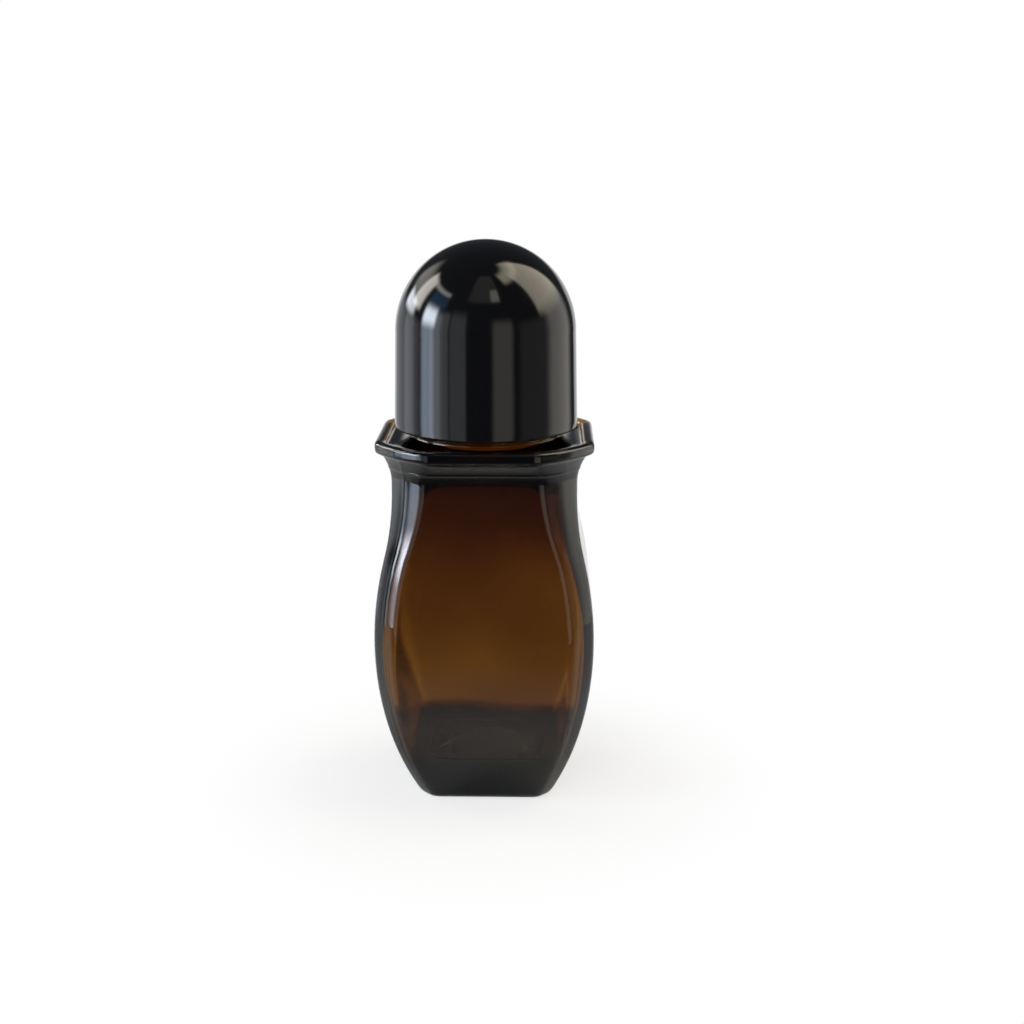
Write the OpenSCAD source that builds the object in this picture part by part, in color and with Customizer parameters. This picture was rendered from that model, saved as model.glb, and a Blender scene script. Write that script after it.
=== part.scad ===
// Roll-on bottle: square waisted glass body, ball housing, roller ball and domed screw cap.
// Millimetres. The origin is the centre of the face that it stands on, and +Z runs up its axis.

/* [Glass body] */
// Height of the shoulder, which is the top of the rim bead
shoulder_z = 68.8; // [65:0.1:73]
// Widest distance across the flats, at the belly
belly_w = 40; // [38:0.5:44]
// Depth of the waist inside the belly, on each flat
waist_in = 3.2; // [2:0.1:4]
// Reach of the rim bead past the waist, on each flat
rim_out = 3.05; // [2.4:0.05:4]
// Height of the belly's widest place
belly_z = 32.5; // [30:0.5:35]
// Depth of the flats' waist below the shoulder
waist_drop = 9.8; // [8:0.1:12]
// Depth of the corner faces' waist below the shoulder
corner_waist_drop = 6.8; // [5:0.1:8]
// Depth below the shoulder where the sides start to flare out
flare_drop = 7.3; // [5:0.1:8]
// Radius of the flats below the belly
lower_r = 70; // [63:0.5:79]
// Radius of the corner faces below the belly
corner_lower_r = 56; // [51:0.5:63]
// Share of the flats' curve over the belly that turns outwards
belly_share = 0.575; // [0.5:0.005:0.65]
// Share of the corner faces' curve over the belly that turns outwards
corner_share = 0.57; // [0.5:0.005:0.65]
// Depth of the corner face inside the sharp corner, at the belly
belly_corner_cut = 2.7; // [2:0.1:4]
// Depth of the corner face inside the sharp corner, at the waist
waist_corner_cut = 3.8; // [2.7:0.1:4.7]
// Depth of the corner face inside the sharp corner, at the rim
rim_corner_cut = 5.9; // [5:0.1:7]
// Radius of the rounded heel
heel_r = 3.2; // [2.4:0.1:4.2]
// Radius of the rounded rim bead
bead_r = 1.1; // [0.8:0.05:1.3]

/* [Glass thickness] */
// Thickness of the side walls
glass_wall = 2.5; // [2:0.1:3]
// Thickness of the heavy base, up to the cavity's floor
floor_t = 9.4; // [7:0.1:11]
// Rise of the cavity's domed floor at its middle
floor_rise = 1; // [0.5:0.1:1.5]
// Radius between the cavity's floor and its walls
floor_r = 7; // [6:0.1:8]
// Thickness of the shoulder over the cavity
shoulder_t = 4.3; // [3.6:0.1:5]
// Radius between the cavity's walls and the shoulder
cavity_top_r = 3; // [2:0.1:4]
// Diameter of the hollow under the base
punt_d = 14; // [12:0.5:16]
// Depth of the hollow under the base
punt_depth = 0.8; // [0.5:0.1:1.2]
// Depth of the ledge inside the rim bead
ledge_depth = 0.7; // [0.4:0.05:1]

/* [Neck] */
// Diameter of the neck's bore
bore_d = 22.4; // [22:0.1:22.8]
// Wall of the neck between its threads
neck_wall = 2.3; // [2:0.1:2.6]
// Height of the neck's lip over the shoulder
neck_h = 9.4; // [8.6:0.1:10]
// Radius where the neck meets the ledge
neck_root_r = 0.6; // [0.3:0.05:0.7]
// Radius of the lip's outer edge
lip_r = 0.6; // [0.3:0.05:0.8]

/* [Ball] */
// Diameter of the ball
ball_d = 25.4; // [25:0.1:25.8]
// Wall of the hollow ball
ball_wall = 1.6; // [1.2:0.1:2.2]
// Clearance between the ball and its socket
ball_play = 0.15; // [0.1:0.01:0.25]

/* [Ball housing] */
// Wall of the socket
socket_wall = 1.1; // [0.9:0.05:1.3]
// Height of the holding lip over the ball's centre
socket_lip_h = 4.4; // [3.8:0.1:5]
// Distance from the flange's edge to the neck's outside
flange_inset = 0.3; // [0.1:0.05:0.6]
// Thickness of the flange
flange_t = 1.2; // [1:0.05:1.5]
// Depth of the plug inside the neck
plug_depth = 7.4; // [7:0.1:8]
// Wall of the plug
plug_wall = 1.3; // [1:0.05:1.5]
// Gap between the plug's wall and the neck's bore
plug_gap = 0.35; // [0.2:0.05:0.5]
// Gap between the plug's sealing ribs and the bore
rib_gap = 0.02; // [0.01:0.01:0.05]
// Height of each sealing rib
rib_h = 0.8; // [0.5:0.1:1]
// Number of sealing ribs
rib_count = 3; // [2:1:3]
// Diameter of the feed hole under the ball
feed_d = 8; // [5:0.5:8]
// Number of feed slots round the hole
slot_count = 6; // [4:1:8]
// Width of each feed slot
slot_w = 1.3; // [1:0.1:1.6]
// Distance from the axis to the end of each feed slot
slot_reach = 6.4; // [5.5:0.1:7]

/* [Cap] */
// Wall of the cap
cap_wall = 1.7; // [1.5:0.05:1.9]
// Gap between the ball housing and the inside of the cap
dome_gap = 0.85; // [0.6:0.05:1.2]
// Room for the threads between the neck and the inside of the cap
thread_room = 1.3; // [1.1:0.05:1.6]
// Height of the dome's centre over the ball's
dome_lift = 0.5; // [0.2:0.1:1]
// Widening of the skirt from the dome to its open end, on the radius
skirt_draft = 0.4; // [0.2:0.05:0.6]
// Gap between the shoulder and the skirt's end
cap_gap = 1.2; // [0.6:0.1:1.6]
// Radius of the skirt's outer bottom edge
skirt_edge_r = 0.4; // [0.2:0.05:0.6]
// Outer diameter of the ring that presses the ball
press_d = 11; // [9:0.5:13]
// Wall of the pressing ring
press_wall = 1; // [0.8:0.1:1.4]
// Gap between the pressing ring and the ball
press_gap = 0.3; // [0.2:0.05:0.5]

/* [Hidden] */
$fn = 96;
// Overrun of every cut past the face that it opens
cut = 1;
// Steps along each stretch of the glass outlines
side_steps = 26;
flare_steps = 6;
round_steps = 6;
// Turn of a bottom edge that gets the finer steps, in degrees
edge_turn = 75;

// Radii that fit together, from the ball and the bore outwards
ball_r = ball_d / 2;
socket_r = ball_r + ball_play;
bowl_r = socket_r + socket_wall;
bore_r = bore_d / 2;
neck_r = bore_r + neck_wall;
plug_r = bore_r - plug_gap;
dome_r = max(bowl_r + dome_gap, neck_r + thread_room) + cap_wall;
skirt_r = dome_r + skirt_draft;

// Levels up the axis. The bowl's outside meets the plug's at the neck's lip.
ceiling_z = shoulder_z - shoulder_t;
ledge_z = shoulder_z - ledge_depth;
lip_z = shoulder_z + neck_h;
ball_z = lip_z + sqrt(bowl_r * bowl_r - plug_r * plug_r);
cap_z = shoulder_z + cap_gap;
dome_z = ball_z + dome_lift;

// Half widths across the flats
belly_x = belly_w / 2;
waist_x = belly_x - waist_in;
rim_x = waist_x + rim_out;

// A form of the body: half widths at the belly, waist and rim, height of the waist,
// radius below the belly, and share of the curve over it
flat_form = [belly_x, waist_x, rim_x, shoulder_z - waist_drop, lower_r, belly_share];
corner_form = [
    belly_x * sqrt(2) - belly_corner_cut,
    waist_x * sqrt(2) - waist_corner_cut,
    rim_x * sqrt(2) - rim_corner_cut,
    shoulder_z - corner_waist_drop,
    corner_lower_r,
    corner_share
];

// The same form on the cavity's side of the wall
function inside(form) = [
    form[0] - glass_wall,
    form[1] - glass_wall,
    form[2] - glass_wall,
    form[3],
    form[4] - glass_wall,
    form[5]
];

// Points along an arc, from angle a0 to angle a1
function arc(x, z, r, a0, a1, steps = round_steps) =
    [for (i = [0 : steps]) let (a = a0 + (a1 - a0) * i / steps) [x + r * cos(a), z + r * sin(a)]];

// Radius of an arc that starts upright and gains dx over dz
function flare_radius(dx, dz) = (dz * dz + dx * dx) / (2 * dx);

// Reach at height z of a round of radius r about the point x, mid_z
function round_x(z, x, mid_z, r) = x + sqrt(max(0, r * r - pow(z - mid_z, 2)));

// Reach of a form at height z, from its base up to its waist
function waisted_x(form, z) =
    let (
        rise = form[3] - belly_z,
        total = flare_radius(form[0] - form[1], rise),
        belly_r = total * form[5],
        waist_r = total - belly_r,
        turn_x = form[1] + waist_r
    )
    z < belly_z ? round_x(z, form[0] - form[4], belly_z, form[4])
    : z < belly_z + rise * form[5] ? round_x(z, form[0] - belly_r, belly_z, belly_r)
    : z < form[3] ? 2 * turn_x - round_x(z, turn_x, form[3], waist_r)
    : form[1];

// The same with its bottom edge rounded
function rounded_x(form, z, bottom_z, bottom_r) =
    let (
        drop = belly_z - bottom_z - bottom_r,
        core_r = form[4] - bottom_r,
        bottom_x = form[0] - form[4] + sqrt(core_r * core_r - drop * drop),
        leave_z = bottom_z + bottom_r - bottom_r * drop / core_r
    )
    z < leave_z ? round_x(z, bottom_x, bottom_z + bottom_r, bottom_r) : waisted_x(form, z);

// Reach of the glass at height z: side, flare and rim bead
function glass_x(form, z) =
    let (
        bead_x = form[2] - bead_r,
        bead_z = shoulder_z - bead_r,
        start_z = max(shoulder_z - flare_drop, form[3]),
        flare_r = flare_radius(bead_x - form[1], bead_z - bead_r - start_z),
        flare_x = form[1] + flare_r
    )
    z < start_z ? rounded_x(form, z, 0, heel_r)
    : z < bead_z - bead_r ? 2 * flare_x - round_x(z, flare_x, start_z, flare_r)
    : round_x(z, bead_x, bead_z, bead_r);

// Reach of the cavity at height z, rounded into the shoulder
function cavity_x(form, z) =
    let (round_z = ceiling_z - cavity_top_r)
    z < round_z ? rounded_x(form, z, floor_t, floor_r)
    : round_x(z, form[1] - cavity_top_r, round_z, cavity_top_r);

// Heights from z0 up to z1, without z1
function heights(z0, z1, steps) = [for (i = [0 : steps - 1]) z0 + (z1 - z0) * i / steps];

// Heights up a round whose foot is at z0, through a turn that starts at angle from
function round_heights(z0, r, from, turn) =
    [for (i = [0 : round_steps - 1]) z0 + r * (1 - cos(from + turn * i / round_steps))];

// Heights where every outline of the glass has its points, so that edges meet along the creases
glass_heights = concat(
    round_heights(0, heel_r, 0, edge_turn),
    heights(heel_r * (1 - cos(edge_turn)), shoulder_z - flare_drop, side_steps),
    heights(shoulder_z - flare_drop, shoulder_z - 2 * bead_r, flare_steps),
    round_heights(shoulder_z - 2 * bead_r, bead_r, 0, 180),
    [shoulder_z]
);

// The same for the cavity
cavity_heights = concat(
    round_heights(floor_t, floor_r, 0, edge_turn),
    heights(floor_t + floor_r * (1 - cos(edge_turn)), ceiling_z - cavity_top_r, side_steps),
    round_heights(ceiling_z - 2 * cavity_top_r, cavity_top_r, 90, 90),
    [ceiling_z]
);

// Half outlines, from the axis at the bottom to the axis at the top
function glass_outline(form) =
    concat([[0, 0]], [for (z = glass_heights) [glass_x(form, z), z]], [[0, shoulder_z]]);
function cavity_outline(form) =
    concat([[0, floor_t]], [for (z = cavity_heights) [cavity_x(form, z), z]], [[0, ceiling_z]]);

// A half outline and its mirror image
function mirrored(points) =
    concat(points, [for (i = [len(points) - 1 : -1 : 0]) [-points[i][0], points[i][1]]]);

// Square body with arched corners: two crossed outlines, trimmed by a turned one
module squared_body(side, corner) {
    reach = 4 * max(belly_x, rim_x);
    intersection() {
        rotate([90, 0, 0]) linear_extrude(height = reach, center = true) polygon(mirrored(side));
        rotate([90, 0, 90]) linear_extrude(height = reach, center = true) polygon(mirrored(side));
        rotate_extrude() polygon(corner);
    }
}

module glass_bottle() {
    color([0.30, 0.15, 0.05, 0.85])
    difference() {
        union() {
            glass_blank();
            neck_tube();
        }
        glass_cavity();
        translate([0, 0, ceiling_z - cut]) cylinder(h = lip_z - ceiling_z + 2 * cut, r = bore_r);
        punt();
    }
}

// Outside of the body, with the ledge sunk inside the rim bead
module glass_blank() {
    ledge_w = 2 * (rim_x - 2 * bead_r);
    difference() {
        squared_body(glass_outline(flat_form), glass_outline(corner_form));
        translate([0, 0, ledge_z]) intersection() {
            translate([-ledge_w / 2, -ledge_w / 2, 0]) cube([ledge_w, ledge_w, ledge_depth + cut]);
            cylinder(h = ledge_depth + cut, r = corner_form[2] - 2 * bead_r);
        }
    }
}

module glass_cavity() {
    difference() {
        squared_body(cavity_outline(inside(flat_form)), cavity_outline(inside(corner_form)));
        floor_dome();
    }
}

// Rise in the middle of the cavity's floor
module floor_dome() {
    dome = flare_radius(floor_rise, belly_x - glass_wall - floor_r);
    translate([0, 0, floor_t + floor_rise - dome]) sphere(r = dome);
}

// Neck over the ledge, with a rounded root and lip
module neck_tube() {
    rotate_extrude() polygon(concat(
        [[0, ceiling_z], [neck_r + neck_root_r, ceiling_z]],
        arc(neck_r + neck_root_r, ledge_z + neck_root_r, neck_root_r, 270, 180),
        arc(neck_r - lip_r, lip_z - lip_r, lip_r, 0, 90),
        [[0, lip_z]]
    ));
}

// Shallow hollow under the base
module punt() {
    hollow = flare_radius(punt_depth, punt_d / 2);
    translate([0, 0, punt_depth - hollow]) sphere(r = hollow);
}

module ball_housing() {
    color([0.93, 0.93, 0.90])
    difference() {
        union() {
            housing_blank();
            seal_ribs();
        }
        translate([0, 0, ball_z]) sphere(r = socket_r);
        feed_openings();
    }
}

// Bowl, flange and plug in one turned piece
module housing_blank() {
    plug_end = lip_z - plug_depth;
    plug_in_r = plug_r - plug_wall;
    flange_r = neck_r - flange_inset;
    top_z = ball_z + socket_lip_h;
    rotate_extrude() polygon(concat(
        arc(0, ball_z, bowl_r, -90, asin(plug_in_r / bowl_r) - 90),
        [
            [plug_in_r, plug_end],
            [plug_r - plug_gap, plug_end],
            [plug_r, plug_end + rib_h],
            [plug_r, lip_z],
            [flange_r, lip_z],
            [flange_r, lip_z + flange_t]
        ],
        arc(0, ball_z, bowl_r, -asin((ball_z - lip_z - flange_t) / bowl_r), 0),
        [
            [bowl_r, ball_z + socket_lip_h / 2],
            [bowl_r - socket_wall / 2, top_z],
            [0, top_z]
        ]
    ));
}

// Rings that seal the plug in the neck's bore
module seal_ribs() {
    pitch = plug_depth / (rib_count + 1);
    foot_r = plug_r - plug_wall / 2;
    for (i = [1 : rib_count])
        translate([0, 0, lip_z - i * pitch])
            rotate_extrude() polygon([
                [foot_r, -rib_h / 2],
                [plug_r, -rib_h / 2],
                [bore_r - rib_gap, -rib_h / 4],
                [bore_r - rib_gap, rib_h / 4],
                [plug_r, rib_h / 2],
                [foot_r, rib_h / 2]
            ]);
}

// Hole and radial slots that feed the ball
module feed_openings() {
    slot_h = bowl_r - sqrt(socket_r * socket_r - slot_reach * slot_reach) + 2 * cut;
    translate([0, 0, ball_z - bowl_r - cut]) {
        cylinder(h = slot_h, d = feed_d);
        for (i = [0 : slot_count - 1])
            rotate([0, 0, i * 360 / slot_count])
                translate([0, -slot_w / 2, 0]) cube([slot_reach, slot_w, slot_h]);
    }
}

module roller_ball() {
    color([0.96, 0.96, 0.94])
    translate([0, 0, ball_z]) difference() {
        sphere(r = ball_r);
        sphere(r = ball_r - ball_wall);
    }
}

module cap() {
    color([0.05, 0.05, 0.055]) {
        cap_skirt();
        cap_dome();
        press_ring();
    }
}

// Tapered skirt with a rounded outer edge at its open end
module cap_skirt() {
    rotate_extrude() polygon(concat(
        [[skirt_r - cap_wall, cap_z]],
        arc(skirt_r - skirt_edge_r, cap_z + skirt_edge_r, skirt_edge_r, -90, 0),
        [[dome_r, dome_z], [dome_r - cap_wall, dome_z]]
    ));
}

module cap_dome() {
    translate([0, 0, dome_z]) difference() {
        sphere(r = dome_r);
        sphere(r = dome_r - cap_wall);
        translate([-2 * dome_r, -2 * dome_r, -4 * dome_r]) cube(4 * dome_r);
    }
}

// Ring under the dome that presses the ball on its seat
module press_ring() {
    ring_r = press_d / 2;
    ring_low = ball_z + sqrt(pow(ball_r + press_gap, 2) - pow(ring_r - press_wall, 2));
    ring_high = dome_z + sqrt(pow(dome_r - cap_wall / 2, 2) - ring_r * ring_r);
    translate([0, 0, ring_low]) difference() {
        cylinder(h = ring_high - ring_low, r = ring_r);
        translate([0, 0, -cut]) cylinder(h = ring_high - ring_low + 2 * cut, r = ring_r - press_wall);
    }
}

glass_bottle();
ball_housing();
roller_ball();
cap();
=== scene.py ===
"""Looks of a waisted square roll-on bottle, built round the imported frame.

The bottle is amber container glass with a screw neck. A snap-in housing holds a white roller
ball, and a domed black cap closes over both. Sizes are in millimetres, and MM turns them to the
metres that the frame uses. The origin is the centre of the face that the bottle stands on, +Z
runs up its axis, and the camera looks along +Y.
"""

import logging
import math
from dataclasses import dataclass
from enum import Enum
from typing import NamedTuple

import bmesh
import bpy
from mathutils import Matrix, Vector


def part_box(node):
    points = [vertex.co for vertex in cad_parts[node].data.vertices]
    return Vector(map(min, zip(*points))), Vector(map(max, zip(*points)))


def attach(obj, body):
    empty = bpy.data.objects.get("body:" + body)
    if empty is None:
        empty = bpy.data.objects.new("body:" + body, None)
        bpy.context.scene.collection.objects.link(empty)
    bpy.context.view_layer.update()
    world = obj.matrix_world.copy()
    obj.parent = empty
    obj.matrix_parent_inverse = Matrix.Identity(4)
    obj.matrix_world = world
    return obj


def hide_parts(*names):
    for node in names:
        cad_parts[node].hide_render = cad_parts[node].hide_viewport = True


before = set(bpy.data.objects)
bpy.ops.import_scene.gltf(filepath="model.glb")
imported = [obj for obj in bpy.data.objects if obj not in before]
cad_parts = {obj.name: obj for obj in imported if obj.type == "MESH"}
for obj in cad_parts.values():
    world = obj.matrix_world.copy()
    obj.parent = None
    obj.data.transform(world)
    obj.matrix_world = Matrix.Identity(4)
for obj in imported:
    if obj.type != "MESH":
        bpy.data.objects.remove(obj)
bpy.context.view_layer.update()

MM = 0.001
# Points closer than this are one point of a mesh
MERGE_MM = 0.0005
# A ring of the glass is round where its corners reach less than this past its flats
ROUND_MM = 0.01
# Angles that a crease of the glass keeps between, in degrees from the middle of a flat
CREASE_RANGE = (20.0, 41.0)
LOG = logging.getLogger("roll_on_bottle")

Point = tuple[float, float]
Colour = tuple[float, float, float, float]
Socket = bpy.types.NodeSocket


class Body(Enum):
    """Rigid bodies of the frame that the pieces ride on."""

    BOTTLE = "bottle"
    BALL = "ball"
    CAP = "cap"


class Zone(Enum):
    """Stretches of the glass surface that carry different fine shapes."""

    PLAIN = "plain"
    MOULDED = "moulded"
    THREADED = "threaded"
    BLOWN = "blown"


def linear(hex_colour: str) -> Colour:
    """Turns an sRGB hex colour to linear light.

    Args:
        hex_colour: Six hex digits after a hash.

    Returns:
        Red, green, blue and an alpha of 1.
    """
    channels = [int(hex_colour[i : i + 2], 16) / 255 for i in (1, 3, 5)]
    light = [c / 12.92 if c <= 0.04045 else ((c + 0.055) / 1.055) ** 2.4 for c in channels]
    return (*light, 1.0)


def add_node(tree: bpy.types.NodeTree, kind: str, settings: dict | None = None,
             links: dict | None = None, **attributes: object) -> bpy.types.Node:
    """Adds a node to a tree.

    Args:
        tree: Tree that gets the node.
        kind: Blender's name for the node's type.
        settings: Values of its input sockets, by name or index.
        links: Output sockets that feed its input sockets, by name or index.
        attributes: The node's own properties, such as operation.

    Returns:
        The new node.
    """
    node = tree.nodes.new(kind)
    for name, value in attributes.items():
        setattr(node, name, value)
    for socket, value in (settings or {}).items():
        node.inputs[socket].default_value = value
    for socket, source in (links or {}).items():
        tree.links.new(source, node.inputs[socket])
    return node


def new_material(name: str) -> tuple[bpy.types.Material, bpy.types.NodeTree]:
    """Makes an empty node material.

    Args:
        name: Name of the material.

    Returns:
        The material and its tree.
    """
    material = bpy.data.materials.new(name)
    material.use_nodes = True
    material.node_tree.nodes.clear()
    return material, material.node_tree


def add_object(name: str, mesh: bmesh.types.BMesh) -> bpy.types.Object:
    """Turns a mesh into an object of the scene.

    Args:
        name: Name of the object and of its data.
        mesh: Shape in the row frame, which this frees.

    Returns:
        The new object.
    """
    data = bpy.data.meshes.new(name)
    mesh.to_mesh(data)
    mesh.free()
    made = bpy.data.objects.new(name, data)
    bpy.context.scene.collection.objects.link(made)
    return made


def arc(x: float, z: float, r: float, start: float, end: float, steps: int) -> list[Point]:
    """Points along an arc.

    Args:
        x: Distance of its centre from the axis.
        z: Height of its centre.
        r: Radius.
        start: First angle, in degrees.
        end: Last angle, in degrees.
        steps: Number of chords.

    Returns:
        Points from the first angle to the last, both included.
    """
    angles = [math.radians(start + (end - start) * i / steps) for i in range(steps + 1)]
    return [(x + r * math.cos(a), z + r * math.sin(a)) for a in angles]


def flare_radius(dx: float, dz: float) -> float:
    """Radius of an arc that starts upright and gains dx over a height of dz."""
    return (dz * dz + dx * dx) / (2 * dx)


def round_x(z: float, x: float, mid_z: float, r: float) -> float:
    """Reach at height z of a round of radius r about the point x, mid_z."""
    return x + math.sqrt(max(0.0, r * r - (z - mid_z) ** 2))


def smoothstep(value: float) -> float:
    """Eases a value between 0 and 1."""
    t = min(1.0, max(0.0, value))
    return t * t * (3 - 2 * t)


def soft_min(a: float, b: float, soft: float) -> float:
    """Finds the smaller of two values, with the change between them rounded off.

    Args:
        a: One value.
        b: The other.
        soft: Difference below which the change is rounded.

    Returns:
        The smaller value, or a little less where the two are close.
    """
    if soft <= 0:
        return min(a, b)
    h = min(1.0, max(0.0, 0.5 + 0.5 * (b - a) / soft))
    return b * (1 - h) + a * h - soft * h * (1 - h)


def turned(profile: list[Point], columns: int, closed: bool = False) -> bmesh.types.BMesh:
    """Spins a profile about the axis.

    Args:
        profile: Distance from the axis and height of each point, in millimetres.
        columns: Steps round the axis.
        closed: Joins the last point to the first, for a profile off the axis.

    Returns:
        A closed mesh in metres. Its vertices keep the index of their profile point.
    """
    mesh = bmesh.new()
    ring_of = mesh.verts.layers.int.new("ring")
    points = [mesh.verts.new((x * MM, 0, z * MM)) for x, z in profile]
    for index, vert in enumerate(points):
        vert[ring_of] = index
    ends = points[1:] + points[:1] if closed else points[1:]
    edges = [mesh.edges.new(pair) for pair in zip(points, ends)]
    bmesh.ops.spin(mesh, geom=points + edges, axis=(0, 0, 1), cent=(0, 0, 0), dvec=(0, 0, 0),
                   angle=2 * math.pi, steps=columns, use_merge=True)
    bmesh.ops.remove_doubles(mesh, verts=mesh.verts, dist=MERGE_MM * MM)
    bmesh.ops.recalc_face_normals(mesh, faces=mesh.faces)
    return mesh


@dataclass(frozen=True)
class Piece:
    """What a finished piece is called, what it rides on and what it stands for."""

    name: str
    body: Body
    slot: str
    replaces: str = ""
    sharp_from: float = 180.0

    def finish(self, mesh: bmesh.types.BMesh, material: bpy.types.Material) -> bpy.types.Object:
        """Turns a mesh into an object that rides on its body.

        Args:
            mesh: Shape in the row frame, which this frees.
            material: Finish of all its faces.

        Returns:
            The new object.
        """
        piece = add_object(self.name, mesh)
        piece.data.shade_smooth()
        if self.sharp_from < 180:
            piece.data.set_sharp_from_angle(angle=math.radians(self.sharp_from))
        piece.data.materials.append(material)
        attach(piece, self.body.value)
        if self.replaces:
            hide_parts(self.replaces)
        LOG.info("%s: %d faces on %s", self.name, len(piece.data.polygons), self.body.value)
        return piece


class Ring(NamedTuple):
    """One level ring of the glass: reach of its flats and corners, and height."""

    flat: float
    corner: float
    height: float
    zone: Zone = Zone.PLAIN

    def soft(self, crease_soft: float) -> float:
        """Softness of the creases, which fades out where the ring is round."""
        return min(crease_soft, self.corner - self.flat)

    def reach(self, angle: float, crease_soft: float) -> float:
        """Distance from the axis to the ring at an angle in radians."""
        side = self.flat / max(abs(math.cos(angle)), abs(math.sin(angle)))
        return soft_min(side, self.corner, self.soft(crease_soft))

    def crease(self) -> float:
        """Finds the crease between flat and corner face.

        Returns:
            Its angle from the middle of the flat, in degrees.
        """
        least, most = CREASE_RANGE
        if self.corner - self.flat < ROUND_MM:
            return least
        return min(most, max(least, math.degrees(math.acos(self.flat / self.corner))))

    def towards(self, other: "Ring", share: float, height: float) -> "Ring":
        """Makes a ring between this one and another.

        Args:
            other: The ring that a share of 1 gives.
            share: How far towards it.
            height: Height of the new ring.

        Returns:
            The new ring.
        """
        flat = self.flat + (other.flat - self.flat) * share
        corner = self.corner + (other.corner - self.corner) * share
        return Ring(flat, corner, height)


@dataclass(frozen=True)
class SideForm:
    """Half outline of the glass body, across its flats or across its corners."""

    belly: float
    waist: float
    rim: float
    waist_z: float
    lower_r: float
    share: float
    belly_z: float

    def inside(self, wall: float) -> "SideForm":
        """The same form on the cavity's side of the wall."""
        return SideForm(self.belly - wall, self.waist - wall, self.rim - wall, self.waist_z,
                        self.lower_r - wall, self.share, self.belly_z)

    def waisted(self, z: float) -> float:
        """Follows the outline from the base up to the waist.

        Args:
            z: Height.

        Returns:
            Reach there.
        """
        rise = self.waist_z - self.belly_z
        total = flare_radius(self.belly - self.waist, rise)
        belly_r = total * self.share
        waist_r = total - belly_r
        turn_x = self.waist + waist_r
        if z < self.belly_z:
            return round_x(z, self.belly - self.lower_r, self.belly_z, self.lower_r)
        if z < self.belly_z + rise * self.share:
            return round_x(z, self.belly - belly_r, self.belly_z, belly_r)
        if z < self.waist_z:
            return 2 * turn_x - round_x(z, turn_x, self.waist_z, waist_r)
        return self.waist

    def rounded(self, z: float, bottom_z: float, bottom_r: float) -> float:
        """Follows the same outline with its bottom edge rounded.

        Args:
            z: Height.
            bottom_z: Height of the bottom.
            bottom_r: Radius of its edge.

        Returns:
            Reach at height z.
        """
        drop = self.belly_z - bottom_z - bottom_r
        core_r = self.lower_r - bottom_r
        bottom_x = self.belly - self.lower_r + math.sqrt(core_r * core_r - drop * drop)
        leave_z = bottom_z + bottom_r - bottom_r * drop / core_r
        if z < leave_z:
            return round_x(z, bottom_x, bottom_z + bottom_r, bottom_r)
        return self.waisted(z)


@dataclass(frozen=True)
class Columns:
    """Spread of the mesh's columns over an eighth of the glass, from a flat to a corner."""

    flat: int = 9
    crease: int = 6
    face: int = 4
    seam: int = 1
    seam_width: float = 0.9
    crease_most: float = 4.0
    axis_r: float = 1.0

    @property
    def eighth(self) -> int:
        """Columns in an eighth of the way round."""
        return self.flat + self.crease + self.face + self.seam

    def angle(self, column: int, ring: Ring, crease_soft: float) -> float:
        """Places a column so that the mesh follows the creases.

        Args:
            column: Index of the column, counted from +X.
            ring: Ring that it crosses.
            crease_soft: Softness of the creases, in millimetres.

        Returns:
            Angle round the axis, in radians.
        """
        quarter, index = divmod(column, 2 * self.eighth)
        steps = min(index, 2 * self.eighth - index)
        crease = math.radians(ring.crease())
        half = self.crease_most
        if ring.flat > self.axis_r:
            width = ring.flat * math.sin(crease)
            half = min(half, math.degrees(crease_soft * math.cos(crease) ** 2 / width))
        knots = [
            (0, 0.0),
            (self.flat, ring.crease() - half),
            (self.flat + self.crease, ring.crease() + half),
            (self.eighth - self.seam, 45 - self.seam_width),
            (self.eighth, 45.0),
        ]
        turn = 45.0
        for (low, start), (high, end) in zip(knots, knots[1:]):
            if low <= steps < high:
                turn = start + (end - start) * (steps - low) / (high - low)
                break
        if index > self.eighth:
            turn = 90 - turn
        return math.radians(90 * quarter + turn)


@dataclass(frozen=True)
class Rows:
    """How many rings each stretch of the glass gets, from the base up and down the inside.

    The mould joint has its rings at shares of its half width instead.
    """

    punt: int = 8
    bearing: int = 5
    heel: int = 9
    sides: int = 44
    flare: int = 14
    joint: tuple[float, ...] = (-1, -0.6, -0.3, 0, 0.3, 0.6, 1)
    bead: int = 14
    bead_inside: int = 6
    ledge: int = 7
    root: int = 5
    neck: int = 44
    lip: int = 6
    lip_inside: int = 5
    bore: int = 5
    throat: int = 9
    shoulder: int = 9
    wall: int = 40
    floor_edge: int = 10
    floor: int = 8


@dataclass(frozen=True)
class Thread:
    """A single-start thread ridge, as a helix round the axis."""

    start_z: float
    pitch: float = 3.0
    turns: float = 1.6
    width: float = 1.7
    height: float = 1.0
    flank: float = 0.38
    fade: float = 0.08

    def rise(self, angle: float, z: float) -> float:
        """Finds how far the ridge stands out.

        Args:
            angle: Angle round the axis, in radians.
            z: Height.

        Returns:
            Height of the ridge over its cylinder there.
        """
        turn = angle / (2 * math.pi) % 1.0
        best = 0.0
        for whole in range(math.ceil(self.turns)):
            place = whole + turn
            if place > self.turns:
                continue
            off = abs(z - self.start_z - self.pitch * place)
            flank = smoothstep((self.width / 2 - off) / (self.flank * self.width))
            ends = smoothstep(min(place, self.turns - place) / self.fade)
            best = max(best, self.height * flank * ends)
        return best


class Swell(NamedTuple):
    """A wave of the blown wall that winds round the axis."""

    share: float
    count: int
    length: float
    start: float

    def at(self, angle: float, z: float) -> float:
        """Height of the wave at an angle in radians and a height."""
        return self.share * math.sin(self.count * angle + z / self.length + self.start)


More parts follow.
